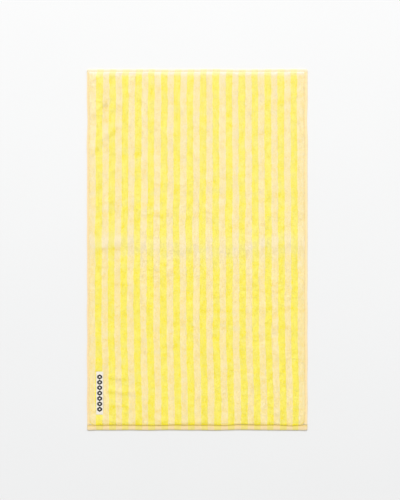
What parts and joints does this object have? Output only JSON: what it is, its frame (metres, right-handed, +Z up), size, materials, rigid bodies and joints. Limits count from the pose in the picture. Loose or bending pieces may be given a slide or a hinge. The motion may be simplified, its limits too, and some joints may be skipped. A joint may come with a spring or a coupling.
{
  "type": "striped terry towel",
  "caption": "Flat rectangular terry towel with lengthwise yellow and peach stripes, loop pile on both sides, flat turned hems, lockstitched seams and a sewn-on woven label.",
  "frame": {"origin": "centre of the towel's footprint, on the surface it lies on", "axes": "+X across the stripes with the label on the -X side, +Y along the stripes with the label at the -Y end, +Z up out of the labelled face"},
  "size_m": [0.5, 0.818, 0.0052],
  "materials": {
    "ground_weave": "matte",
    "yellow_terry": "matte",
    "peach_terry": "matte",
    "hem_weave": "matte",
    "sewing_thread": "satin",
    "label_tape": "satin",
    "label_motif": "satin",
    "label_thread": "satin"
  },
  "bodies": {
    "root": {"ground_cloth": "ground_weave", "face_pile_yellow": "yellow_terry", "face_pile_peach": "peach_terry", "back_pile_yellow": "yellow_terry", "back_pile_peach": "peach_terry", "top_hem": "hem_weave", "bottom_hem": "hem_weave", "left_side_hem": "hem_weave", "right_side_hem": "hem_weave", "top_hem_needle_thread": "sewing_thread", "top_hem_bobbin_thread": "sewing_thread", "bottom_hem_needle_thread": "sewing_thread", "bottom_hem_bobbin_thread": "sewing_thread", "left_hem_needle_thread": "sewing_thread", "left_hem_bobbin_thread": "sewing_thread", "right_hem_needle_thread": "sewing_thread", "right_hem_bobbin_thread": "sewing_thread", "woven_label": "label_tape", "label_motif": "label_motif", "label_needle_thread": "label_thread", "label_bobbin_thread": "label_thread"}
  },
  "joints": []
}
